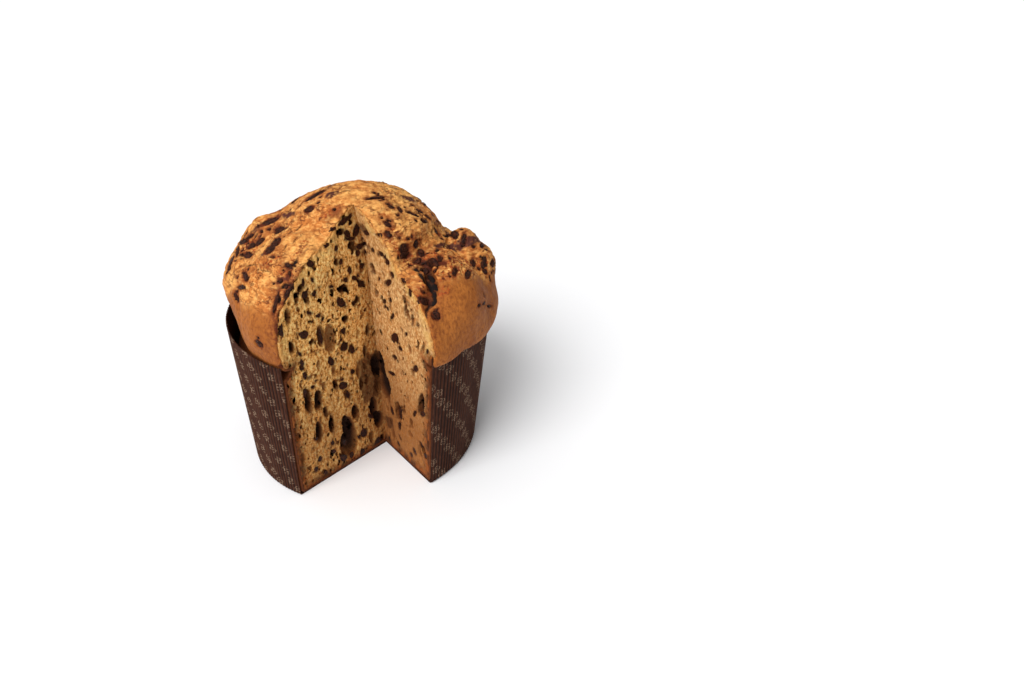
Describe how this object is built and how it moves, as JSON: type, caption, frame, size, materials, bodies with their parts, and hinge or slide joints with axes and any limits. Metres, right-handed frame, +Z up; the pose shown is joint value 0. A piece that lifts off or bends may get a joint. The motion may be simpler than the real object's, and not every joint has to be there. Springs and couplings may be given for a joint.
{
  "type": "panettone",
  "caption": "Tall chocolate-chip panettone in its pleated brown paper case, with a wedge cut out down to the foot so that the crumb shows.",
  "frame": {"origin": "on the surface it stands on, under the middle of the whole, which is 11 mm from the middle of the case's foot", "axes": "+Z up; the cut-out wedge opens towards -Y"},
  "size_m": [0.183, 0.1703, 0.192],
  "materials": {
    "crust": "baked dough skin, golden brown to orange brown, wrinkled on top, matt",
    "crumb": "open yellow-gold crumb with upright fibres and holes, matt",
    "chocolate": "dark chocolate chips, baked and partly melted, slightly glossy",
    "paper": "dark brown pleated baking paper with a small beige floral print, slight sheen"
  },
  "bodies": {
    "root": {"bread": "crust", "paper_case": "paper"}
  },
  "joints": []
}
